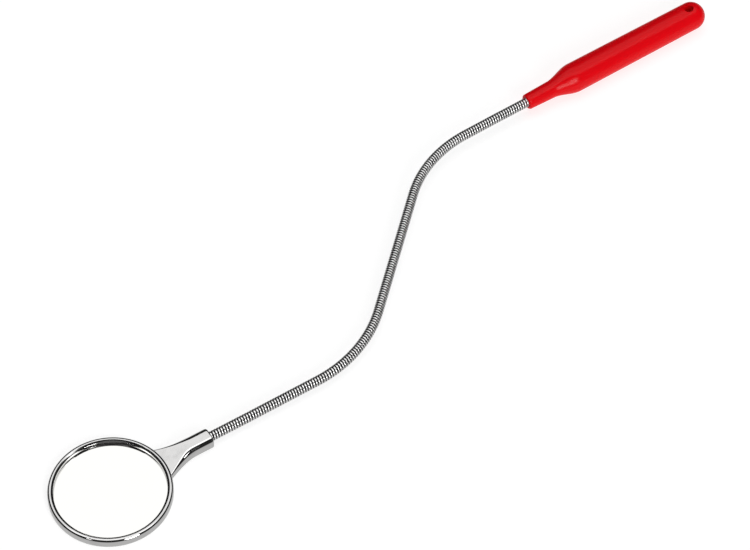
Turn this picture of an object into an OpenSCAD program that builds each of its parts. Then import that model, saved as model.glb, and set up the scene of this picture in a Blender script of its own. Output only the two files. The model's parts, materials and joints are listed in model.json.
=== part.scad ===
// Flexible inspection mirror: a round mirror in a plated frame, on a stay-put gooseneck arm
// with a moulded handle. It lies on a table as stored, with the arm in an S-bend.
// +X runs from the mirror towards the handle and +Z is up. The origin is at the middle of the
// lying part, on the table. Handle and head are level, and the arm slopes down to the head.

/* [Mirror head] */
// Outside diameter of the mirror frame
frame_d = 60.5; // [56:0.5:64]
// Height of the frame's rim above the table
frame_h = 4.6; // [4.2:0.1:6]
// Width of the rim, seen from the front
rim_w = 2.8; // [2.6:0.1:3.6]
// Thickness of the mirror glass
glass_t = 1.5; // [1:0.1:2]
// Thickness of the bonding pad behind the glass
pad_t = 0.3; // [0.2:0.1:0.5]
// Thickness of the sheet-metal back cover
cover_t = 0.6; // [0.4:0.1:0.8]
// Distance from the middle of the mirror to the mouth of the socket
neck_reach = 55.5; // [53:0.5:60]
// Outside diameter of the socket
socket_d = 9.3; // [9:0.1:11]
// Radius of the hollow flanks between the socket and the frame
flank_r = 33; // [30:1:45]
// How deep the arm goes into the socket
socket_depth = 13; // [8:0.5:15]

/* [Arm] */
// Outside diameter of the gooseneck arm
arm_d = 5.1; // [4.4:0.1:5.4]
// Straight length of arm next to the handle
handle_straight = 39; // [30:1:90]
// Radius of the bend nearer the handle
handle_bend_r = 65; // [50:1:120]
// Angle of the bend nearer the handle
handle_bend = 42.5; // [20:0.5:60]
// Straight length of arm between the two bends
middle_straight = 75; // [60:1:150]
// Radius of the bend nearer the head
head_bend_r = 69; // [50:1:120]
// Angle of the bend nearer the head
head_bend = 44; // [20:0.5:60]
// Straight length of arm next to the head
head_straight = 61; // [45:1:120]
// Gap in the outer winding at each place where the arm bends
bend_gap = 1.6; // [1.5:0.1:2.5]

/* [Handle] */
// Length of the handle
handle_len = 114.5; // [95:0.5:150]
// Largest diameter of the handle, behind the shoulder
barrel_d = 15.8; // [14:0.1:20]
// How much narrower the barrel is at its far end
barrel_taper = 0.7; // [0:0.1:2]
// Diameter of the nose at its front
nose_d = 8.3; // [8.2:0.1:9.4]
// Diameter of the nose where the shoulder starts
nose_back_d = 9.2; // [9:0.1:11]
// Length of the nose
nose_len = 15; // [12:0.5:25]
// Length of the sloping shoulder
shoulder_len = 15.5; // [10:0.5:25]
// Diameter of the hanging hole
hang_d = 4.8; // [3:0.1:6]
// Distance from the hanging hole to the end of the handle
hang_from_end = 9.5; // [8:0.5:14]
// How deep the arm goes into the handle
grip_depth = 22; // [16:1:28]

/* [Hidden] */
$fn = 96;

red = [0.87, 0.06, 0.11];
chrome = [0.80, 0.81, 0.83];
steel = [0.62, 0.63, 0.65];
dark_steel = [0.42, 0.43, 0.45];
glass_tint = [0.90, 0.94, 0.95];
pad_grey = [0.25, 0.25, 0.27];

running = 0.05;              // radial clearance of every fitted sleeve
fitted = 0.1;                // radial clearance of the mirror in its seat
overrun = 1;                 // how far a cutting shape passes the face that it cuts

// Arm: an inner coil of round wire inside an outer winding
wrap_t = 0.75;
coil_t = 0.8;
coil_gap = 0.1;
wrap_r = arm_d / 2;
coil_r = wrap_r - wrap_t - running;

// Arm stretches from the handle to the head: length, angle to the left, number of links
stretches = [
    [handle_straight, 0, 2],
    [handle_bend_r * handle_bend * PI / 180, handle_bend, 2],
    [middle_straight, 0, 3],
    [head_bend_r * head_bend * PI / 180, -head_bend, 2],
    [head_straight, 0, 3]
];
// One entry for each link: its length and the angle that it turns through
links = [for (s = stretches) for (k = [1:s[2]]) [s[0] / s[2], s[1] / s[2]]];
last = len(links) - 1;

// End of a link that starts at the origin along +X and turns left by its angle
function link_end(l) =
    l[1] == 0 ? [l[0], 0] : let (r = l[0] / (l[1] * PI / 180)) [r * sin(l[1]), r * (1 - cos(l[1]))];
function turned(p, a) = [p[0] * cos(a) - p[1] * sin(a), p[0] * sin(a) + p[1] * cos(a)];
// Where link i starts in the plane of the arm, and its heading there
function link_heading(i) = i == 0 ? 0 : link_heading(i - 1) + links[i - 1][1];
function link_start(i) =
    i == 0 ? [0, 0] : link_start(i - 1) + turned(link_end(links[i - 1]), link_heading(i - 1));

// Heights of the handle's axis and the socket's axis, and the slope of the arm between them
handle_z = barrel_d / 2;
socket_z = socket_d / 2;
slope_from = link_start(1)[0];
slope = asin((handle_z - socket_z) / (link_start(last)[0] - slope_from));

// A point of the arm's plane, measured from the tip of the handle's nose
function from_nose(p) =
    let (down = p[0] - slope_from)
        [-slope_from - down * cos(slope), -p[1], down > 0 ? -down * sin(slope) : 0];
function toward_head(a, d) = [-d * cos(a), -d * sin(a), 0];

head_turn = link_heading(last);
mouth = from_nose(link_start(last)) + toward_head(head_turn, links[last][0]);
mirror = mouth + toward_head(head_turn, neck_reach);

// The nose's tip, placed so that the whole part is centred on the origin
frame_r = frame_d / 2;
nose = [
    (frame_r - mirror[0] - handle_len) / 2,
    (frame_r - mirror[1] - handle_z) / 2,
    handle_z
];

// Head: the seat that holds cover, pad and glass behind the rim's lip
seat_h = cover_t + pad_t + glass_t;
lip = 0.9;
opening_r = frame_r - rim_w;
seat_r = opening_r + lip;
pad_r = seat_r - 1.5;
bead_r = rim_w / 2;
bead_z = frame_h - bead_r;
plate_z = frame_h - 0.5;     // top of the neck plate where it meets the rim
flare_x = neck_reach - 9;    // where the flanks start to widen
plate_x = frame_r - rim_w;
top_x = neck_reach - socket_depth;
socket_lead = 4;             // how far the round socket runs back into the plate

// Ferrules: steel sleeves crimped on both ends of the arm
ferrule_t = 0.4;
ferrule_r = wrap_r + running + ferrule_t;
ferrule_inset = 0.6;
ferrule_start = 6;
socket_wall = 0.55;
socket_top = ferrule_r + running + socket_wall;

// Handle
nose_round = 1;
nose_r = nose_d / 2;
nose_back_r = nose_back_d / 2;
barrel_r = barrel_d / 2;
end_r = (barrel_d - barrel_taper) / 2;
mouth_r = wrap_r + 2 * running;
round_steps = 6;
shoulder_steps = 12;
end_steps = 16;

function eased(t) = t * t * (3 - 2 * t);
// Outline of the handle as [radius, distance from the nose's tip]
handle_outline = concat(
    [[0, 0]],
    [for (k = [0:round_steps]) let (a = 90 * k / round_steps)
        [nose_r - nose_round * (1 - sin(a)), nose_round * (1 - cos(a))]],
    [for (k = [0:shoulder_steps]) let (t = k / shoulder_steps)
        [nose_back_r + (barrel_r - nose_back_r) * eased(t), nose_len + shoulder_len * t]],
    [for (k = [0:end_steps]) let (a = 90 * k / end_steps)
        [k == end_steps ? 0 : end_r * cos(a), handle_len - end_r * (1 - sin(a))]]
);

// Handle frame: origin at the tip of the nose, +X along the handle
module at_handle() {
    translate(nose) children();
}

// Head frame: origin under the middle of the mirror, +X along the neck to the socket
module at_head() {
    translate([nose[0] + mirror[0], nose[1] + mirror[1], 0]) rotate([0, 0, head_turn]) children();
}

// Link frame: origin where link i starts, +X along it towards the head
module at_link(i) {
    tilt = i == 0 || i == last ? 0 : -slope;
    translate(nose + from_nose(link_start(i)))
        rotate([0, tilt, 0]) rotate([0, 0, 180 + link_heading(i)]) children();
}

// A rod along +X
module rod(r, from, to) {
    translate([from, 0, 0]) rotate([0, 90, 0]) cylinder(r = r, h = to - from);
}

module sleeve(r, t, from, to) {
    difference() {
        rod(r, from, to);
        rod(r - t, from - overrun, to + overrun);
    }
}

// A tube along link i, leaving out a length at its start and its end; a negative one is added
module link_tube(i, r, t, skip_start, skip_end) {
    length = links[i][0];
    angle = links[i][1];
    if (angle == 0) {
        sleeve(r, t, skip_start, length - skip_end);
    } else {
        side = sign(angle);
        bend_r = length / (abs(angle) * PI / 180);
        per_mm = abs(angle) / length;
        mirror([0, side < 0 ? 1 : 0, 0])
            translate([0, bend_r, 0]) rotate([0, 0, skip_start * per_mm - 90])
                rotate_extrude(angle = (length - skip_start - skip_end) * per_mm)
                    translate([bend_r, 0]) ring(r, t);
    }
}

module ring(r, t) {
    difference() {
        circle(r);
        circle(r - t);
    }
}

// Outer winding of one link, which stops short of the joints at its ends
module arm_winding(i) {
    color(steel) at_link(i)
        link_tube(i, wrap_r, wrap_t,
            i == 0 ? -grip_depth : bend_gap / 2,
            i == last ? -socket_depth : bend_gap / 2);
}

// Inner coil of one link, which meets its neighbours
module arm_coil(i) {
    color(dark_steel) at_link(i)
        link_tube(i, coil_r, coil_t,
            i == 0 ? -grip_depth : coil_gap / 2,
            i == last ? -socket_depth : coil_gap / 2);
}

// Moulded grip with a blind bore for the arm and a hanging hole
module handle() {
    color(red) at_handle() difference() {
        rotate([0, 90, 0]) rotate_extrude() polygon(handle_outline);
        rod(mouth_r, -overrun, ferrule_start + overrun);
        rod(ferrule_r + running, ferrule_start, grip_depth + running);
        translate([handle_len - hang_from_end, 0, -barrel_d]) cylinder(d = hang_d, h = 2 * barrel_d);
    }
}

// Sleeve crimped on the arm and moulded into the handle
module handle_ferrule() {
    color(steel) at_handle() sleeve(ferrule_r, ferrule_t, ferrule_start + running, grip_depth);
}

module rim_section() {
    translate([opening_r, 0]) square([rim_w, bead_z]);
    translate([frame_r - bead_r, bead_z]) circle(bead_r);
}

// Side view of the neck: level on the table, sloping up from the rim to the socket
module neck_profile() {
    polygon([
        [plate_x, 0],
        [neck_reach, 0],
        [neck_reach, socket_z + socket_top],
        [top_x, socket_z + socket_top],
        [frame_r, plate_z],
        [plate_x, plate_z]
    ]);
}

// Plate that widens from the socket to the rim between two hollow flanks
module neck_plate() {
    difference() {
        translate([plate_x, -frame_r / 2, 0]) cube([flare_x - plate_x, frame_r, socket_d]);
        for (side = [-1, 1])
            translate([flare_x, side * (socket_z + flank_r), -overrun])
                cylinder(r = flank_r, h = socket_d + 2 * overrun);
    }
}

// Cast rim, neck and socket in one piece
module head_frame() {
    color(chrome) at_head() difference() {
        union() {
            rotate_extrude() rim_section();
            intersection() {
                union() {
                    neck_plate();
                    translate([0, 0, socket_z]) rod(socket_z, flare_x - socket_lead, neck_reach);
                }
                translate([0, frame_r, 0]) rotate([90, 0, 0]) linear_extrude(frame_d) neck_profile();
            }
        }
        translate([0, 0, -overrun]) cylinder(r = seat_r, h = seat_h + overrun);
        cylinder(r = opening_r, h = frame_h + overrun);
        translate([0, 0, socket_z])
            rod(ferrule_r + running, neck_reach - socket_depth - running, neck_reach + overrun);
    }
}

// Sheet-metal disc pressed into the back of the frame
module back_cover() {
    color(steel) at_head() cylinder(r = seat_r - fitted, h = cover_t);
}

// Double-sided foam pad between cover and glass
module glass_pad() {
    color(pad_grey) at_head() translate([0, 0, cover_t]) cylinder(r = pad_r, h = pad_t);
}

// Silvered glass disc, held behind the lip of the rim
module mirror_glass() {
    color(glass_tint) at_head() translate([0, 0, cover_t + pad_t]) cylinder(r = seat_r - fitted, h = glass_t);
}

// Sleeve crimped on the arm inside the socket
module head_ferrule() {
    color(steel) at_head() translate([0, 0, socket_z])
        sleeve(ferrule_r, ferrule_t, neck_reach - socket_depth, neck_reach - ferrule_inset);
}

handle();
handle_ferrule();
head_frame();
back_cover();
glass_pad();
mirror_glass();
head_ferrule();
for (i = [0:last]) arm_winding(i);
for (i = [0:last]) arm_coil(i);
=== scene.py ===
import json
import math

import bmesh
import bpy
from mathutils import Matrix, Vector


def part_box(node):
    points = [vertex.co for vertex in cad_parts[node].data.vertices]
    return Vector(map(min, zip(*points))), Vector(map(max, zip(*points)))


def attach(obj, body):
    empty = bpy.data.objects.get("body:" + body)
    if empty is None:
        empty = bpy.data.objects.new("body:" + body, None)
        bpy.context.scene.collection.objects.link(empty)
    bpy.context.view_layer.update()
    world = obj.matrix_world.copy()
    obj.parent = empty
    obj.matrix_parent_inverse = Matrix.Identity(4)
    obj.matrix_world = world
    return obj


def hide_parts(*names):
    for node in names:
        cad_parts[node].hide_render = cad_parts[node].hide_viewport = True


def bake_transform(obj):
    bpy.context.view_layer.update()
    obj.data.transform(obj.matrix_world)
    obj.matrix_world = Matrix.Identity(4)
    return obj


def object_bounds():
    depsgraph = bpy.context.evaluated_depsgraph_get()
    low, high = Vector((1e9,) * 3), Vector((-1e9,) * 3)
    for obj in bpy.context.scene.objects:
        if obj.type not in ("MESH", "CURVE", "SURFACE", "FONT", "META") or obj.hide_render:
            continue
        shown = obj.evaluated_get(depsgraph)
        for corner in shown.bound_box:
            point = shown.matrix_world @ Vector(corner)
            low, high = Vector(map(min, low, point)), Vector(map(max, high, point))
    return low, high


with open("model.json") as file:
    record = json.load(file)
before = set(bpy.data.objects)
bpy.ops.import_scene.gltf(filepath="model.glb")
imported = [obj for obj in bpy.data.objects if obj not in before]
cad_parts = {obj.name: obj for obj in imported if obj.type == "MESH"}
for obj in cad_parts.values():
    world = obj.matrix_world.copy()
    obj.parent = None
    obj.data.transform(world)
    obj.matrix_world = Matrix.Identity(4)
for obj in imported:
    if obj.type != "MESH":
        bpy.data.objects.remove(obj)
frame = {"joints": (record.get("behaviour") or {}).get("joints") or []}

cad_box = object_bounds()
mm = 0.001


# ---------------------------------------------------------------------------------------------
# Studio. The mirror lies on a pale table below large soft lights, with lower ones in front and to
# the left, and the rest of the room is dim, so that plated parts show bright faces and dark edges.
# ---------------------------------------------------------------------------------------------

view_turn, view_height = math.radians(-33.9), math.radians(53)
view_distance = 1.7
lens = 163.2
aim_from_nose = Vector((-127.96, -49.4, 0)) * mm    # from the nose's tip to where the camera looks


def middle(node):
    lowest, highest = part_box(node)
    return (lowest + highest) / 2


def away(turn, height):
    """The direction at this turn round the tool and this height above the table, as angles."""
    flat = math.cos(height)
    return Vector((math.sin(turn) * flat, -math.cos(turn) * flat, math.sin(height)))


nose = Vector((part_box("handle")[0].x, *middle("handle").yz))
look_at = nose + aim_from_nose

camera = bpy.data.objects.new("camera", bpy.data.cameras.new("camera"))
bpy.context.scene.collection.objects.link(camera)
camera.data.lens = lens
camera.data.clip_end = 20
camera.location = look_at + away(view_turn, view_height) * view_distance
camera.rotation_euler = away(view_turn, view_height).to_track_quat("Z", "Y").to_euler()
bpy.context.scene.camera = camera
bpy.context.scene.view_settings.view_transform = "Standard"


def softbox(name, turn, height, distance, width, depth, brightness):
    """A soft light that faces the tool. Its turn and height are in degrees, and its distance, width
    and depth in metres. Brightness is that of its face, with 1 as white."""
    light = bpy.data.lights.new(name, "AREA")
    light.shape = "RECTANGLE"
    light.size, light.size_y = width, depth
    light.energy = brightness * math.pi * width * depth
    box = bpy.data.objects.new(name, light)
    bpy.context.scene.collection.objects.link(box)
    direction = away(math.radians(turn), math.radians(height))
    box.location = look_at + direction * distance
    box.rotation_euler = direction.to_track_quat("Z", "Y").to_euler()


softbox("overhead_light", turn=146, height=75.5, distance=6.0, width=10.0, depth=6.5, brightness=1.06)
softbox("ceiling_light", turn=-34, height=88, distance=5.5, width=8.0, depth=1.5, brightness=0.9)
softbox("front_light", turn=-2.5, height=28.5, distance=6.0, width=1.9, depth=3.4, brightness=8.6)
softbox("side_light", turn=-68, height=34, distance=6.0, width=0.7, depth=0.7, brightness=6.0)
softbox("fill_light", turn=-34, height=56, distance=6.0, width=5.0, depth=1.1, brightness=0.14)


class Socket:
    """An output in a node tree. Arithmetic on it adds Math nodes, and node adds any other."""

    def __init__(self, link):
        self.link = link

    def node(self, kind, settings, sockets, out=0):
        made = self.link.id_data.nodes.new(kind)
        for name, value in settings.items():
            setattr(made, name, value)
        for name, value in sockets.items():
            plug(value, made.inputs[name])
        return Socket(made.outputs[out])

    def also(self, out):
        return Socket(self.link.node.outputs[out])

    def maths(self, operation, first, second):
        return self.node("ShaderNodeMath", {"operation": operation}, {0: first, 1: second})

    def __add__(self, other):
        return self.maths("ADD", self, other)

    def __radd__(self, other):
        return self.maths("ADD", other, self)

    def __sub__(self, other):
        return self.maths("SUBTRACT", self, other)

    def __rsub__(self, other):
        return self.maths("SUBTRACT", other, self)

    def __mul__(self, other):
        return self.maths("MULTIPLY", self, other)

    def __rmul__(self, other):
        return self.maths("MULTIPLY", other, self)

    def __truediv__(self, other):
        return self.maths("DIVIDE", self, other)


def plug(value, input_socket):
    if isinstance(value, Socket):
        input_socket.id_data.links.new(value.link, input_socket)
    else:
        input_socket.default_value = value


room = bpy.data.worlds.new("room")
bpy.context.scene.world = room
room.use_nodes = True
facing = Socket(room.node_tree.nodes.new("ShaderNodeTexCoord").outputs["Generated"])


def over(value, low, high):
    """0 where the value is below low, 1 where it is above high."""
    return value.node(
        "ShaderNodeMapRange",
        {"interpolation_type": "SMOOTHSTEP"},
        {"Value": value, "From Min": low, "From Max": high},
    )


dim_room, low_glow = 0.018, 0.6
toward_viewer = facing.node(
    "ShaderNodeVectorMath", {"operation": "DOT_PRODUCT"}, {0: facing, 1: away(view_turn, 0)}, "Value"
)
downward = 0 - facing.node("ShaderNodeSeparateXYZ", {}, {0: facing}, "Z")
room_shade = dim_room + over(downward, 0.0, 0.3) * over(toward_viewer, -1.0, -0.88) * low_glow
plug(room_shade, room.node_tree.nodes["Background"].inputs["Color"])


def new_finish(name):
    """A material, its shader, and the socket that gives the place on the piece in metres."""
    material = bpy.data.materials.new(name)
    material.use_nodes = True
    nodes = material.node_tree.nodes
    return material, nodes["Principled BSDF"], Socket(nodes.new("ShaderNodeTexCoord").outputs["Object"])


def tinted(mask, plain, marked):
    """One colour where the mask is 0 and the other where it is 1."""
    return mask.node(
        "ShaderNodeMix", {"data_type": "RGBA"}, {0: mask, 6: (*plain, 1), 7: (*marked, 1)}, 2
    )


def clouds(place, size, detail=3.0, rough=0.55):
    """Soft noise from 0 to 1 whose lumps are about this size in metres."""
    return place.node(
        "ShaderNodeTexNoise",
        {},
        {"Vector": place, "Scale": 1 / size, "Detail": detail, "Roughness": rough},
    )


def relief(height, depth, strength=1.0):
    """A bump of this depth in metres where the height is 1."""
    return height.node(
        "ShaderNodeBump", {}, {"Height": height, "Distance": depth, "Strength": strength}, "Normal"
    )


table_grey, table_pale_grey = (0.38, 0.38, 0.38), (0.40, 0.40, 0.40)
table_patch = 0.25
table_glow = 0.76
table_finish, table_shader, place = new_finish("pale_table")
table_shader.inputs["Roughness"].default_value = 0.7
table_shader.inputs["Specular IOR Level"].default_value = 0.2
table_shader.inputs["Emission Color"].default_value = (1, 1, 1, 1)
table_shader.inputs["Emission Strength"].default_value = table_glow
plug(tinted(clouds(place, table_patch), table_grey, table_pale_grey), table_shader.inputs["Base Color"])

table_gap = 0.05 * mm
table_half = 4.0
table_mesh = bpy.data.meshes.new("table")
table_z = cad_box[0].z - table_gap
table_mesh.from_pydata(
    [(-table_half, -table_half, table_z), (table_half, -table_half, table_z),
     (table_half, table_half, table_z), (-table_half, table_half, table_z)],
    [], [(0, 1, 2, 3)],
)
table_mesh.materials.append(table_finish)
table = bpy.data.objects.new("table", table_mesh)
bpy.context.scene.collection.objects.link(table)
table.visible_glossy = False


# ---------------------------------------------------------------------------------------------
# Handle. One moulding in red plastic: a slim nose round the arm, a sloping shoulder, a slightly
# tapered barrel with a round end, and a hole to hang it by. It is moulded round the arm's sleeve.
# ---------------------------------------------------------------------------------------------

handle_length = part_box("handle")[1].x - nose.x
barrel_radius = middle("handle").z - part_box("handle")[0].z
barrel_taper = 0.35 * mm
end_radius = barrel_radius - barrel_taper
nose_radius, nose_back_radius = 4.15 * mm, 4.6 * mm
nose_length, shoulder_length = 15 * mm, 15.5 * mm
nose_rounding, mouth_rounding = 1 * mm, 0.3 * mm
arm_hole_radius = 2.65 * mm
sleeve_seat = (6 * mm, 22.05 * mm, 3.05 * mm)      # from, to and radius, behind the nose's tip
hang_radius, hang_from_end, hang_rounding = 2.4 * mm, 9.5 * mm, 0.9 * mm
hang_edge_depth = 0.75 * mm                         # where its rounding starts, below the surface
flare_stop = -9                                     # in degrees, where it meets the barrel
shoulder_steps, barrel_steps, flare_steps = 32, 36, 9
sharp_angle = math.radians(32)
on_axis, weld_gap = 1e-7, 0.002 * mm


def arc(centre, radius, start, stop, steps):
    """Points of an arc, with its angles in degrees and the centre as (along, outward)."""
    angles = [math.radians(start + (stop - start) * k / steps) for k in range(steps + 1)]
    return [(centre[0] + radius * math.cos(a), centre[1] + radius * math.sin(a)) for a in angles]


def eased(t):
    return t * t * (3 - 2 * t)


def write_smooth(shape, mesh):
    """Writes the shape to the mesh, shaded smooth but for its sharp edges."""
    for face in shape.faces:
        face.smooth = True
    for edge in shape.edges:
        edge.smooth = edge.calc_face_angle(0) < sharp_angle
    shape.to_mesh(mesh)
    shape.free()


def as_piece(name, shape, *finishes):
    """Makes a closed shape a piece with outward faces."""
    bmesh.ops.recalc_face_normals(shape, faces=shape.faces)
    mesh = bpy.data.meshes.new(name)
    write_smooth(shape, mesh)
    for finish in finishes:
        mesh.materials.append(finish)
    piece = bpy.data.objects.new(name, mesh)
    bpy.context.scene.collection.objects.link(piece)
    return piece


def turned(outline, steps=128, closed=False):
    """A shape turned about +X. The outline's points are (along, radius); closed joins its ends."""
    shape = bmesh.new()
    rings = []
    for along, radius in outline:
        if radius < on_axis:
            rings.append([shape.verts.new((along, 0, 0))] * steps)
            continue
        angles = [2 * math.pi * k / steps for k in range(steps)]
        rings.append([
            shape.verts.new((along, radius * math.cos(a), radius * math.sin(a))) for a in angles
        ])
    pairs = list(zip(rings, rings[1:] + rings[:1] if closed else rings[1:]))
    for here, there in pairs:
        for k in range(steps):
            corners = [here[k], here[k - 1], there[k - 1], there[k]]
            shape.faces.new(dict.fromkeys(corners))
    return shape


def flattened(piece):
    """Applies the piece's modifiers to its mesh."""
    bpy.context.view_layer.update()
    evaluated = piece.evaluated_get(bpy.context.evaluated_depsgraph_get())
    mesh = bpy.data.meshes.new_from_object(evaluated)
    piece.modifiers.clear()
    piece.data = mesh
    return piece


def combined(piece, other, operation):
    """Joins the other piece to this one, or cuts it out, and keeps one clean shell."""
    step = piece.modifiers.new(operation.lower(), "BOOLEAN")
    step.operation, step.solver, step.object = operation, "EXACT", other
    flattened(piece)
    bpy.data.objects.remove(other)
    shape = bmesh.new()
    shape.from_mesh(piece.data)
    bmesh.ops.remove_doubles(shape, verts=shape.verts, dist=weld_gap)
    write_smooth(shape, piece.data)


barrel_end = handle_length - end_radius
seat_start, seat_end, seat_wall = sleeve_seat
handle_outline = [(seat_end, 0), (seat_end, seat_wall), (seat_start, seat_wall)]
handle_outline += [(seat_start, arm_hole_radius)]
handle_outline += arc((mouth_rounding, arm_hole_radius + mouth_rounding), mouth_rounding, -90, -180, 6)
handle_outline += arc((nose_rounding, nose_radius - nose_rounding), nose_rounding, 180, 90, 10)
for k in range(shoulder_steps + 1):
    t = k / shoulder_steps
    handle_outline.append((
        nose_length + shoulder_length * t,
        nose_back_radius + (barrel_radius - nose_back_radius) * eased(t),
    ))
barrel_start = nose_length + shoulder_length
for k in range(1, barrel_steps):
    t = k / barrel_steps
    handle_outline.append((
        barrel_start + (barrel_end - barrel_start) * t,
        barrel_radius + (end_radius - barrel_radius) * t,
    ))
handle_outline += arc((barrel_end, 0), end_radius, 90, 0, 28)[:-1] + [(handle_length, 0)]

handle = as_piece("handle_moulding", turned(handle_outline))
handle.data.transform(Matrix.Translation(nose))
flare_middle = (end_radius - hang_edge_depth, hang_radius + hang_rounding)
flare = arc(flare_middle, hang_rounding, -90, flare_stop, flare_steps)
hole_outline = [(-along, radius) for along, radius in reversed(flare)] + flare
hole_outline = [(-2 * barrel_radius, 0), (-2 * barrel_radius, flare[-1][1])] + hole_outline
hole_outline += [(2 * barrel_radius, flare[-1][1]), (2 * barrel_radius, 0)]
hole = as_piece("hanging_hole", turned(hole_outline, steps=72))
hole.data.transform(
    Matrix.Translation(nose + Vector((handle_length - hang_from_end, 0, 0)))
    @ Matrix.Rotation(math.radians(90), 4, "Y")
)
combined(handle, hole, "DIFFERENCE")

red_plastic, plastic_shader, place = new_finish("red_moulded_plastic")
fresh_red, handled_red = (0.85, 0.002, 0.006), (0.72, 0.003, 0.008)
height = place.node("ShaderNodeSeparateXYZ", {}, {0: place}, "Z")
parting = 1 - over(place.node("ShaderNodeMath", {"operation": "ABSOLUTE"}, {0: height - nose.z}),
                   0.04 * mm, 0.13 * mm)
stretched = place.node("ShaderNodeMapping", {}, {"Vector": place, "Scale": (0.12, 1, 1)})
scuffs = over(clouds(stretched, 1.2 * mm, 4, 0.6), 0.58, 0.75)
handled = clouds(place, 16 * mm, 2)
grain = clouds(place, 0.28 * mm, 2)
plastic_shader.inputs["Specular IOR Level"].default_value = 0.13
plug(tinted(handled * 0.6 + scuffs * 0.25, fresh_red, handled_red), plastic_shader.inputs["Base Color"])
plug(0.20 + handled * 0.06 + scuffs * 0.16 + parting * 0.1, plastic_shader.inputs["Roughness"])
waviness = clouds(place, 3 * mm)
plug(relief(grain * 0.35 + parting + waviness * 0.5, 0.02 * mm, 0.6), plastic_shader.inputs["Normal"])
handle.data.materials.clear()
handle.data.materials.append(red_plastic)
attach(handle, "handle")
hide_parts("handle")


# ---------------------------------------------------------------------------------------------
# Sleeves. A short steel tube is crimped on each end of the arm with three rolled grooves. One is
# moulded into the handle, and the other is pressed into the head's socket.
# ---------------------------------------------------------------------------------------------

sleeve_radius, sleeve_bore = 3.0 * mm, 2.6 * mm
sleeve_chamfer = 0.12 * mm
groove_depth, groove_half = 0.18 * mm, 0.7 * mm
groove_places = (0.25, 0.5, 0.75)                   # as shares of the sleeve's length
sleeve_steps = 60

sleeve_steel, sleeve_shader, place = new_finish("crimped_steel")
sleeve_shader.inputs["Metallic"].default_value = 1
drawn = place.node("ShaderNodeMapping", {}, {"Vector": place, "Scale": (0.05, 1, 1)})
drawn_lines = clouds(drawn, 0.12 * mm, 3)
stain = clouds(place, 2.5 * mm)
dull_steel, clean_steel = (0.42, 0.42, 0.44), (0.56, 0.56, 0.58)
plug(tinted(stain, dull_steel, clean_steel), sleeve_shader.inputs["Base Color"])
plug(0.26 + 0.14 * drawn_lines + 0.1 * stain, sleeve_shader.inputs["Roughness"])
plug(relief(drawn_lines, 0.01 * mm, 0.5), sleeve_shader.inputs["Normal"])


def sleeve(name, length):
    """A sleeve from 0 to its length along +X, with three crimped grooves."""
    outer = []
    for k in range(sleeve_steps + 1):
        along = sleeve_chamfer + (length - 2 * sleeve_chamfer) * k / sleeve_steps
        crimp = 0.0
        for groove in groove_places:
            reach = abs(along - groove * length) / groove_half
            crimp += groove_depth * (1 - eased(min(1, reach)))
        outer.append((along, sleeve_radius - crimp))
    outline = [(0, sleeve_bore + sleeve_chamfer), (0, sleeve_radius - sleeve_chamfer)] + outer
    outline += [(length, sleeve_radius - sleeve_chamfer), (length, sleeve_bore + sleeve_chamfer)]
    outline += [(length - sleeve_chamfer, sleeve_bore), (sleeve_chamfer, sleeve_bore)]
    return as_piece(name, turned(outline, steps=72, closed=True), sleeve_steel)


handle_sleeve_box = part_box("handle_ferrule")
handle_sleeve = sleeve("handle_sleeve", handle_sleeve_box[1].x - handle_sleeve_box[0].x)
handle_sleeve.data.transform(Matrix.Translation((handle_sleeve_box[0].x, nose.y, nose.z)))
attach(handle_sleeve, "handle")
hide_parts("handle_ferrule")

ring_middle = middle("mirror_glass")
neck_direction = (middle("head_ferrule") - ring_middle).xy.normalized()
socket_height = middle("head_ferrule").z
neck_reach, socket_depth, sleeve_inset = 55.5 * mm, 13 * mm, 0.6 * mm
head_place = Matrix.Translation((*ring_middle.xy, 0)) @ Matrix.Rotation(
    math.atan2(neck_direction.y, neck_direction.x), 4, "Z"
)
head_sleeve = sleeve("head_sleeve", socket_depth - sleeve_inset)
head_sleeve.data.transform(
    head_place @ Matrix.Translation((neck_reach - socket_depth, 0, socket_height))
)
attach(head_sleeve, "head")
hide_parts("head_ferrule")


# ---------------------------------------------------------------------------------------------
# Gooseneck arm. An inner coil of round spring wire lies in the groove of an outer winding, turn by
# turn, and their grip on each other holds any bend. Each is shown as one length for each bend.
# ---------------------------------------------------------------------------------------------

grip_depth = 22 * mm
handle_bend_radius, handle_bend = 65 * mm, 42.5     # with the bends' turns in degrees
head_bend_radius, head_bend = 69 * mm, 44
arm_stretches = [                                   # length, and turn to the left in degrees
    (39 * mm, 0),
    (handle_bend_radius * math.radians(handle_bend), handle_bend),
    (75 * mm, 0),
    (head_bend_radius * math.radians(head_bend), -head_bend),
    (61 * mm, 0),
    (socket_depth, 0),
]
route_step = 0.5 * mm
turn_length = 1.45 * mm
wrap_radius, wrap_height, wrap_width = 2.55 * mm, 0.7 * mm, 1.2 * mm
spring_radius, spring_wire = 1.85 * mm, 0.8 * mm
spring_phase = math.pi                              # half a turn on, between the winding's turns
section_radius = 0.5                                # of the wire's section before it is scaled
side_corners = 4                                    # the end caps' faces have more

joint_places = [Vector(joint["pos_m"]) for joint in frame["joints"]]


def arm_route():
    """The arm's middle line from inside the handle to inside the socket, and lengths along it."""
    first, last = joint_places[0], joint_places[-1]
    place, heading, gone = nose + Vector((grip_depth, 0, 0)), math.pi, 0.0
    points, lengths = [place.copy()], [0.0]
    for length, turn in [(grip_depth, 0)] + arm_stretches:
        count = math.ceil(length / route_step)
        for _ in range(count):
            heading += math.radians(turn) / count / 2
            place += Vector((math.cos(heading), math.sin(heading), 0)) * length / count
            heading += math.radians(turn) / count / 2
            gone += length / count
            share = min(1, max(0, (first.x - place.x) / (first.x - last.x)))
            points.append(Vector((place.x, place.y, first.z + (last.z - first.z) * share)))
            lengths.append(gone)
    return points, lengths


route_points, route_lengths = arm_route()


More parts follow.
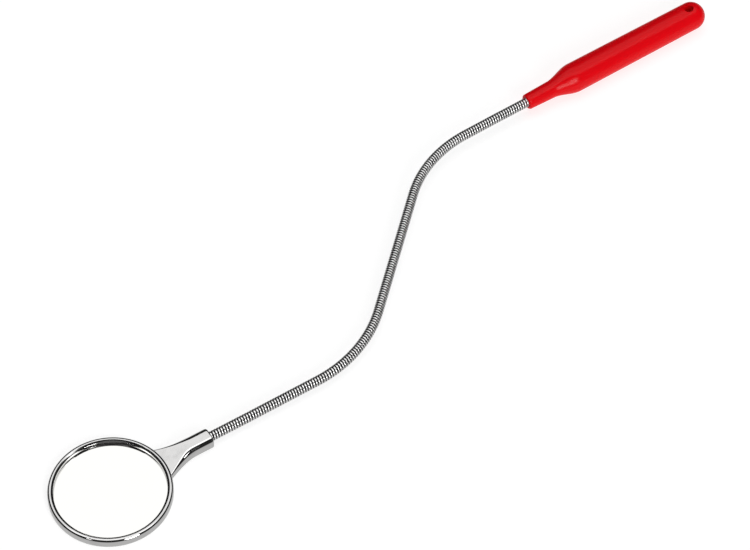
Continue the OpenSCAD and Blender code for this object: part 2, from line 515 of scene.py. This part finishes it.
def length_at(place):
    nearest = min(range(len(route_points)), key=lambda k: (route_points[k] - place).length)
    return route_lengths[nearest]


def point_at(length):
    nearest = min(range(len(route_points)), key=lambda k: abs(route_lengths[k] - length))
    return route_points[nearest]


def wound_wire_tree():
    """Winds a wire round the route, between two lengths along it, with closed ends."""
    tree = bpy.data.node_groups.new("wound_wire", "GeometryNodeTree")
    for name, kind in [
        ("Route", "Geometry"), ("Start", "Float"), ("End", "Float"), ("Turn Length", "Float"),
        ("Middle Radius", "Float"), ("Wire Height", "Float"), ("Wire Width", "Float"),
        ("Phase", "Float"), ("Steps a Turn", "Int"), ("Sides", "Int"), ("Finish", "Material"),
    ]:
        tree.interface.new_socket(name, in_out="INPUT", socket_type="NodeSocket" + kind)
    tree.interface.new_socket("Wire", in_out="OUTPUT", socket_type="NodeSocketGeometry")
    route = Socket(tree.nodes.new("NodeGroupInput").outputs["Route"])
    start, end, pitch = route.also("Start"), route.also("End"), route.also("Turn Length")

    line = route.node("GeometryNodeMeshToCurve", {}, {0: route})
    count = (end - start) / pitch * route.also("Steps a Turn") + 1
    blank = route.node("GeometryNodeCurvePrimitiveLine", {}, {})
    blank = route.node("GeometryNodeResampleCurve", {"mode": "COUNT"}, {"Curve": blank, "Count": count})
    along = start + (end - start) * route.node("GeometryNodeSplineParameter", {}, {}, "Factor")
    sample = route.node(
        "GeometryNodeSampleCurve", {"mode": "LENGTH"}, {"Curves": line, "Length": along}, "Position"
    )
    forward = sample.also("Tangent")

    def vectors(operation, first, second):
        return route.node("ShaderNodeVectorMath", {"operation": operation}, {0: first, 1: second})

    def times(vector, amount):
        return route.node("ShaderNodeVectorMath", {"operation": "SCALE"}, {0: vector, "Scale": amount})

    angle = along * (2 * math.pi) / pitch + route.also("Phase")
    side = vectors("NORMALIZE", vectors("CROSS_PRODUCT", forward, (0, 0, 1)), (0, 0, 0))
    up = vectors("CROSS_PRODUCT", side, forward)
    outward = vectors(
        "ADD",
        times(side, route.node("ShaderNodeMath", {"operation": "COSINE"}, {0: angle})),
        times(up, route.node("ShaderNodeMath", {"operation": "SINE"}, {0: angle})),
    )
    helix = route.node(
        "GeometryNodeSetPosition", {},
        {"Geometry": blank,
         "Position": vectors("ADD", sample, times(outward, route.also("Middle Radius")))},
    )
    helix = route.node(
        "GeometryNodeSetCurveNormal", {"mode": "FREE"}, {"Curve": helix, "Normal": outward}
    )
    section = route.node(
        "GeometryNodeCurvePrimitiveCircle", {},
        {"Resolution": route.also("Sides"), "Radius": section_radius},
    )
    size = route.node(
        "ShaderNodeCombineXYZ", {},
        {"X": route.also("Wire Height"), "Y": route.also("Wire Width"), "Z": 1.0},
    )
    position = route.node("GeometryNodeInputPosition", {}, {})
    outside = position.node("ShaderNodeSeparateXYZ", {}, {0: position}, "X") / section_radius
    section = route.node(
        "GeometryNodeStoreNamedAttribute", {"data_type": "FLOAT", "domain": "POINT"},
        {"Geometry": section, "Name": "outside", "Value": outside},
    )
    section = route.node("GeometryNodeTransform", {}, {"Geometry": section, "Scale": size})
    wire = route.node(
        "GeometryNodeCurveToMesh", {},
        {"Curve": helix, "Profile Curve": section, "Fill Caps": True},
    )
    corners = route.node("GeometryNodeInputMeshFaceNeighbors", {}, {}, "Vertex Count")
    is_side = route.node(
        "FunctionNodeCompare", {"data_type": "INT", "operation": "EQUAL"}, {2: corners, 3: side_corners}
    )
    wire = route.node("GeometryNodeSetShadeSmooth", {}, {"Geometry": wire, "Shade Smooth": is_side})
    wire = route.node("GeometryNodeRealizeInstances", {}, {0: wire})
    wire = route.node("GeometryNodeSetMaterial", {}, {0: wire, "Material": route.also("Finish")})
    plug(wire, tree.nodes.new("NodeGroupOutput").inputs["Wire"])
    return tree


wound_wire = wound_wire_tree()


def wind(name, sizes):
    """One length of wire, wound round the arm's route."""
    mesh = bpy.data.meshes.new(name)
    mesh.from_pydata(route_points, [(k, k + 1) for k in range(len(route_points) - 1)], [])
    piece = bpy.data.objects.new(name, mesh)
    bpy.context.scene.collection.objects.link(piece)
    step = piece.modifiers.new("wound_wire", "NODES")
    step.node_group = wound_wire
    for socket in wound_wire.interface.items_tree:
        if socket.name in sizes:
            step[socket.identifier] = sizes[socket.name]
    return flattened(piece)


wrap_steel, wrap_shader, place = new_finish("bright_wound_wire")
wrap_shader.inputs["Metallic"].default_value = 1
rubbed = clouds(place, 6 * mm, 3)
scratch = clouds(place, 0.35 * mm, 3)
outside = place.node("ShaderNodeAttribute", {"attribute_name": "outside"}, {}, "Fac")
# Painted shade: away from its outer crest the wire is near-black and rougher, where the grooves between
# turns lie in shade.
groove_shade = 1 - over(outside, 0.4, 0.9)                 # painted shade in the grooves between turns
bright_wire, dulled_wire, groove_shade_black = (0.96, 0.955, 0.95), (0.84, 0.835, 0.83), (0.03, 0.03, 0.03, 1)
wire_colour = tinted(over(rubbed, 0.35, 0.75), bright_wire, dulled_wire)
wire_colour = groove_shade.node("ShaderNodeMix", {"data_type": "RGBA"}, {0: groove_shade, 6: wire_colour, 7: groove_shade_black}, 2)
plug(wire_colour, wrap_shader.inputs["Base Color"])
scratches = over(scratch, 0.5, 0.8)
plug(0.28 + 0.04 * rubbed + 0.1 * scratches + 0.2 * groove_shade, wrap_shader.inputs["Roughness"])
plug(relief(scratch, 0.008 * mm, 0.5), wrap_shader.inputs["Normal"])

spring_steel, spring_shader, place = new_finish("dark_spring_wire")
spring_shader.inputs["Metallic"].default_value = 1
oil = clouds(place, 4 * mm, 3)
# Painted shade: the inner coil is near-black so that the gaps between the winding's turns look dark; the
# oil clouds vary it a little.
shaded_oiled_steel, shaded_bare_steel = (0.04, 0.04, 0.045), (0.10, 0.095, 0.09)
plug(tinted(oil, shaded_oiled_steel, shaded_bare_steel), spring_shader.inputs["Base Color"])
plug(0.32 + 0.2 * oil, spring_shader.inputs["Roughness"])
plug(relief(clouds(place, 0.4 * mm, 2), 0.01 * mm, 0.5), spring_shader.inputs["Normal"])

joint_lengths = [length_at(place) for place in joint_places]
stops = [sum(pair) / 2 for pair in zip(joint_lengths, joint_lengths[1:])]
stops = [0.0] + stops + [route_lengths[-1]]
bend_lengths = [grip_depth + (joint_lengths[0] - grip_depth) / 2] + stops[1:-1]
bend_lengths += [(joint_lengths[-1] + route_lengths[-1] - socket_depth) / 2]

for number, joint in enumerate(frame["joints"], 1):
    span = {"Start": stops[number - 1], "End": stops[number], "Turn Length": turn_length}
    wrap = wind(f"arm_wrap_{number}", {
        **span, "Middle Radius": wrap_radius - wrap_height / 2, "Wire Height": wrap_height,
        "Wire Width": wrap_width, "Phase": 0.0, "Steps a Turn": 36, "Sides": 12, "Finish": wrap_steel,
    })
    spring = wind(f"arm_spring_{number}", {
        **span, "Middle Radius": spring_radius - spring_wire / 2, "Wire Height": spring_wire,
        "Wire Width": spring_wire, "Phase": spring_phase, "Steps a Turn": 24, "Sides": 8,
        "Finish": spring_steel,
    })
    for piece, node, finish in [(wrap, "arm_winding", "arm_wire"), (spring, "arm_coil", "arm_core")]:
        point_at(bend_lengths[number - 1])
        point_at(bend_lengths[number])
        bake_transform(piece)
        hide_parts(f"{node}_{number}")
        if number == len(frame["joints"]):
            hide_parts(f"{node}_{number + 1}")


# ---------------------------------------------------------------------------------------------
# Mirror frame. Ring, flared neck and socket are one zinc casting, polished and bright plated. The
# ring has a rounded bead and a thin lip in front of the glass, and the neck rises to the socket.
# ---------------------------------------------------------------------------------------------

ring_radius = 30.25 * mm
opening_radius, seat_radius = 27.45 * mm, 28.35 * mm
seat_height = 2.4 * mm
bead_radius, bead_height = 1.4 * mm, 3.2 * mm
crest_rounding, crest_width, lip_rounding = 0.5 * mm, 0.15 * mm, 0.15 * mm
lip_slope = 30
edge_rounding = 0.3 * mm
lip_chamfer, back_chamfer, back_chamfer_height = 0.12 * mm, 0.2 * mm, 0.25 * mm
socket_half, socket_top = 4.65 * mm, 8.25 * mm
plate_top = 3.7 * mm
flare_from, flank_radius = 46.5 * mm, 33 * mm
plate_edge, plate_foot, socket_edge = 1.2 * mm, 0.8 * mm, 3.1 * mm
rounder_from, rounder_to = 30 * mm, 44 * mm         # where the plate's edges grow to the socket's
slope_rounding = 0.25
bore_radius, bore_chamfer, bore_end_gap = 3.05 * mm, 0.1 * mm, 0.05 * mm
mouth_edge, mouth_top_share = 1.1 * mm, 0.3
neck_root, widest_hug = 29.3 * mm, 0.99
neck_steps, mouth_steps = 60, 6


def upright(outline, steps=192, closed=False):
    """A shape turned about +Z, whose outline's points are (height, radius)."""
    shape = turned(outline, steps, closed)
    bmesh.ops.transform(shape, matrix=Matrix.Rotation(math.radians(-90), 4, "Y"), verts=shape.verts)
    return shape


ring_outline = arc((edge_rounding, ring_radius - edge_rounding), edge_rounding, 180, 90, 5)
ring_outline += arc((bead_height, ring_radius - bead_radius), bead_radius, 90, 0, 16)
crest = (bead_height + bead_radius - crest_rounding, ring_radius - bead_radius - crest_width)
ring_outline += arc(crest, crest_rounding, 0, -lip_slope, 5)
lip_out = ring_outline[-1][1] - opening_radius - lip_rounding * (1 - math.sin(math.radians(lip_slope)))
lip_foot = ring_outline[-1][0] - lip_out * math.tan(math.radians(lip_slope))
lip_middle = lip_foot - lip_rounding * math.cos(math.radians(lip_slope))
ring_outline += arc((lip_middle, opening_radius + lip_rounding), lip_rounding, -lip_slope, -90, 5)
ring_outline += [(seat_height + lip_chamfer, opening_radius), (seat_height, opening_radius + lip_chamfer)]
ring_outline += [(seat_height, seat_radius), (back_chamfer_height, seat_radius)]
ring_outline += [(0, seat_radius + back_chamfer)]
head = as_piece("head_casting", upright(ring_outline, steps=256, closed=True))


def rounded_box(half, low, high, top_edge, foot_edge, sides=8):
    """A section across the neck as (across, height), with the same count of points at any size."""
    corners = [
        (half - top_edge, high - top_edge, top_edge, 0),
        (top_edge - half, high - top_edge, top_edge, 90),
        (foot_edge - half, low + foot_edge, foot_edge, 180),
        (half - foot_edge, low + foot_edge, foot_edge, 270),
    ]
    points = []
    for k, (across, height, radius, turn) in enumerate(corners):
        points += arc((across, height), radius, turn, turn + 90, 10)
        following = corners[(k + 1) % 4]
        leave = points[-1]
        reach = arc(following[:2], following[2], following[3], following[3], 1)[0]
        points += [
            (leave[0] + (reach[0] - leave[0]) * n / sides, leave[1] + (reach[1] - leave[1]) * n / sides)
            for n in range(1, sides)
        ]
    return points


def sloped(t):
    """0 before the slope and 1 after it, straight between, with both of its corners rounded."""
    if t < slope_rounding:
        return max(0, t + slope_rounding) ** 2 / (4 * slope_rounding)
    if t > 1 - slope_rounding:
        return 1 - max(0, 1 + slope_rounding - t) ** 2 / (4 * slope_rounding)
    return t


def neck_section(along, inset=0.0):
    """The neck's section at a distance from the ring's middle, drawn in by the inset."""
    back = max(0, flare_from - along)
    half = socket_half + flank_radius - math.sqrt(flank_radius**2 - back**2)
    rise = sloped((along - ring_radius) / (neck_reach - socket_depth - ring_radius))
    roundness = eased(min(1, max(0, (along - rounder_from) / (rounder_to - rounder_from))))
    edge = plate_edge + (socket_edge - plate_edge) * roundness
    foot = plate_foot + (socket_edge - plate_foot) * roundness
    high = plate_top + (socket_top - plate_top) * rise
    top_inset = inset * mouth_top_share
    return rounded_box(half - inset, inset, high - top_inset, edge - inset, foot - min(inset, foot / 2))


rows = []
for k in range(neck_steps + 1):
    along = neck_root + (neck_reach - mouth_edge - neck_root) * k / neck_steps
    hug = (1 - eased(k / neck_steps)) ** 2          # how far the row follows the ring's curve
    row = []
    for across, height in neck_section(along):
        sideways = min(abs(across), widest_hug * neck_root)
        row.append((along + hug * (math.sqrt(neck_root**2 - sideways**2) - neck_root), across, height))
    rows.append(row)
for k in range(1, mouth_steps + 1):
    a = math.radians(90 * k / mouth_steps)
    along = neck_reach - mouth_edge * (1 - math.sin(a))
    rows.append([(along, *point) for point in neck_section(neck_reach, mouth_edge * (1 - math.cos(a)))])
mouth_row = rows[-1]
for along, radius in [
    (neck_reach, bore_radius + bore_chamfer),
    (neck_reach - bore_chamfer, bore_radius),
    (neck_reach - socket_depth - bore_end_gap, bore_radius),
]:
    turns = [math.atan2(point[2] - socket_height, point[1]) for point in mouth_row]
    rows.append([(along, radius * math.cos(a), socket_height + radius * math.sin(a)) for a in turns])

neck_shape = bmesh.new()
neck_rows = [[neck_shape.verts.new(point) for point in row] for row in rows]
for here, there in zip(neck_rows, neck_rows[1:]):
    for k in range(len(here)):
        neck_shape.faces.new([here[k - 1], here[k], there[k], there[k - 1]])
neck_shape.faces.new(neck_rows[0])
neck_shape.faces.new(neck_rows[-1])
neck = as_piece("neck", neck_shape)
combined(head, neck, "UNION")

bright_plating, plating_shader, place = new_finish("bright_plating")
plating_shader.inputs["Metallic"].default_value = 1
smudge = over(clouds(place, 7 * mm, 4, 0.6), 0.42, 0.75)
hairline = place.node("ShaderNodeMapping", {}, {"Vector": place, "Scale": (0.08, 1, 1)})
hairlines = over(clouds(hairline, 0.25 * mm, 2), 0.62, 0.72)
cast_skin = clouds(place, 5 * mm, 2)
clean_plating, smudged_plating = (0.70, 0.695, 0.69), (0.63, 0.625, 0.62)
plug(tinted(smudge, clean_plating, smudged_plating), plating_shader.inputs["Base Color"])
plug(0.05 + 0.09 * smudge + 0.05 * hairlines, plating_shader.inputs["Roughness"])
plug(relief(cast_skin + hairlines * 0.02, 0.035 * mm, 0.6), plating_shader.inputs["Normal"])
head.data.materials.append(bright_plating)
head.data.transform(head_place)
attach(head, "head")
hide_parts("head_frame")


# ---------------------------------------------------------------------------------------------
# Mirror glass. A ground disc of float glass with a fine bevel round its front, silvered, and
# painted grey on its back. It was put in from behind and rests on the ring's lip.
# ---------------------------------------------------------------------------------------------

glass_low, glass_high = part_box("mirror_glass")[0].z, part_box("mirror_glass")[1].z
glass_radius = (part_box("mirror_glass")[1].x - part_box("mirror_glass")[0].x) / 2
bevel_width, bevel_drop = 1.5 * mm, 0.2 * mm
arris = 0.15 * mm
facing_up = 0.3                                     # faces whose normals rise less are the edge

glass = as_piece("mirror_disc", upright([
    (glass_low, 0), (glass_low, glass_radius - arris), (glass_low + arris, glass_radius),
    (glass_high - bevel_drop - arris, glass_radius), (glass_high - bevel_drop, glass_radius - arris),
    (glass_high, glass_radius - bevel_width), (glass_high, 0),
]))

silvering, silver_shader, place = new_finish("silvered_glass")
silver_shader.inputs["Metallic"].default_value = 1
silver_shader.inputs["Coat Roughness"].default_value = 0.02
silver_shader.inputs["Coat Weight"].default_value = 0.3
dust = over(clouds(place, 0.9 * mm, 5, 0.7), 0.66, 0.8)
wiped = clouds(place, 14 * mm, 3)
warm_silver, wiped_silver = (0.95, 0.945, 0.92), (0.92, 0.92, 0.90)
plug(tinted(wiped * 0.5, warm_silver, wiped_silver), silver_shader.inputs["Base Color"])
plug(0.012 + 0.02 * wiped + 0.10 * dust, silver_shader.inputs["Roughness"])

glass_edge, edge_shader, place = new_finish("ground_glass_edge")
ground = clouds(place, 0.25 * mm, 3)
glass_green, frosted_green = (0.30, 0.42, 0.38), (0.45, 0.55, 0.50)
plug(tinted(ground, glass_green, frosted_green), edge_shader.inputs["Base Color"])
plug(0.45 + 0.25 * ground, edge_shader.inputs["Roughness"])

backing_paint, paint_shader, place = new_finish("grey_backing_paint")
brushed_on = clouds(place, 3 * mm, 3)
thick_paint, thin_paint = (0.20, 0.21, 0.22), (0.26, 0.27, 0.28)
plug(tinted(brushed_on, thick_paint, thin_paint), paint_shader.inputs["Base Color"])
plug(0.5 + 0.2 * brushed_on, paint_shader.inputs["Roughness"])
plug(relief(brushed_on, 0.02 * mm, 0.6), paint_shader.inputs["Normal"])

glass_finishes = [silvering, glass_edge, backing_paint]
for finish in glass_finishes:
    glass.data.materials.append(finish)
for face in glass.data.polygons:
    if face.center.z < glass_low + arris / 4:
        face.material_index = glass_finishes.index(backing_paint)
    elif face.normal.z < facing_up:
        face.material_index = glass_finishes.index(glass_edge)
glass.data.transform(head_place)
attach(glass, "head")
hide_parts("mirror_glass")


# ---------------------------------------------------------------------------------------------
# Bonding pad. A thin disc of grey closed-cell foam, sticky on both sides, that holds the glass to
# the back cover and takes up the play between them.
# ---------------------------------------------------------------------------------------------

pad_low, pad_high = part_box("glass_pad")[0].z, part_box("glass_pad")[1].z
pad_radius = (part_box("glass_pad")[1].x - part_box("glass_pad")[0].x) / 2
pad_middle, pad_half = (pad_low + pad_high) / 2, (pad_high - pad_low) / 2

pad_edge = arc((pad_middle, pad_radius - pad_half), pad_half, 180, 0, 8)
pad_outline = [(pad_low, 0)] + pad_edge + [(pad_high, 0)]
foam_disc = as_piece("foam_disc", upright(pad_outline, steps=128))

foam, foam_shader, place = new_finish("grey_foam")
cell_size = 0.35 * mm
cell_grey, wall_grey = (0.035, 0.035, 0.04), (0.085, 0.085, 0.09)
cells = place.node("ShaderNodeTexVoronoi", {}, {"Vector": place, "Scale": 1 / cell_size}, "Distance")
plug(tinted(cells, cell_grey, wall_grey), foam_shader.inputs["Base Color"])
plug(0.8 + 0.15 * cells, foam_shader.inputs["Roughness"])
plug(relief(cells, 0.08 * mm), foam_shader.inputs["Normal"])
foam_disc.data.materials.append(foam)
foam_disc.data.transform(head_place)
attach(foam_disc, "head")
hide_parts("glass_pad")


# ---------------------------------------------------------------------------------------------
# Back cover. A disc of sheet steel with a shallow pressed middle and a rolled edge, spun to a fine
# circular grain, zinc plated, and pressed into the back of the ring.
# ---------------------------------------------------------------------------------------------

cover_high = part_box("back_cover")[1].z
cover_radius = (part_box("back_cover")[1].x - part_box("back_cover")[0].x) / 2
dish_radius, dish_slope, dish_depth = 20 * mm, 1.4 * mm, 0.3 * mm
rolled_edge = 0.3 * mm
dish_steps = 10

cover_outline = [(dish_depth, 0)]
cover_outline += [
    (dish_depth * (1 - eased(k / dish_steps)), dish_radius + dish_slope * k / dish_steps)
    for k in range(dish_steps + 1)
]
cover_outline += arc((rolled_edge, cover_radius - rolled_edge), rolled_edge, 180, 90, 8)
cover_outline += [(cover_high, cover_radius), (cover_high, 0)]
cover = as_piece("back_disc", upright(cover_outline))

cover_steel, cover_shader, place = new_finish("spun_zinc_plate")
cover_shader.inputs["Metallic"].default_value = 1
from_middle = place.node(
    "ShaderNodeVectorMath", {"operation": "DISTANCE"},
    {0: place, 1: (*ring_middle.xy, 0)}, "Value",
)
spun_line = 0.25 * mm
spun = from_middle.node(
    "ShaderNodeTexNoise",
    {"noise_dimensions": "1D"},
    {"W": from_middle, "Scale": 1 / spun_line, "Detail": 3.0},
)
plating_bloom = clouds(place, 5 * mm, 4)
grey_zinc, bright_zinc = (0.60, 0.61, 0.62), (0.70, 0.70, 0.69)
plug(tinted(plating_bloom, grey_zinc, bright_zinc), cover_shader.inputs["Base Color"])
plug(0.22 + 0.14 * spun + 0.1 * plating_bloom, cover_shader.inputs["Roughness"])
plug(relief(spun, 0.012 * mm, 0.7), cover_shader.inputs["Normal"])
cover.data.materials.append(cover_steel)
cover.data.transform(head_place)
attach(cover, "head")
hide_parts("back_cover")
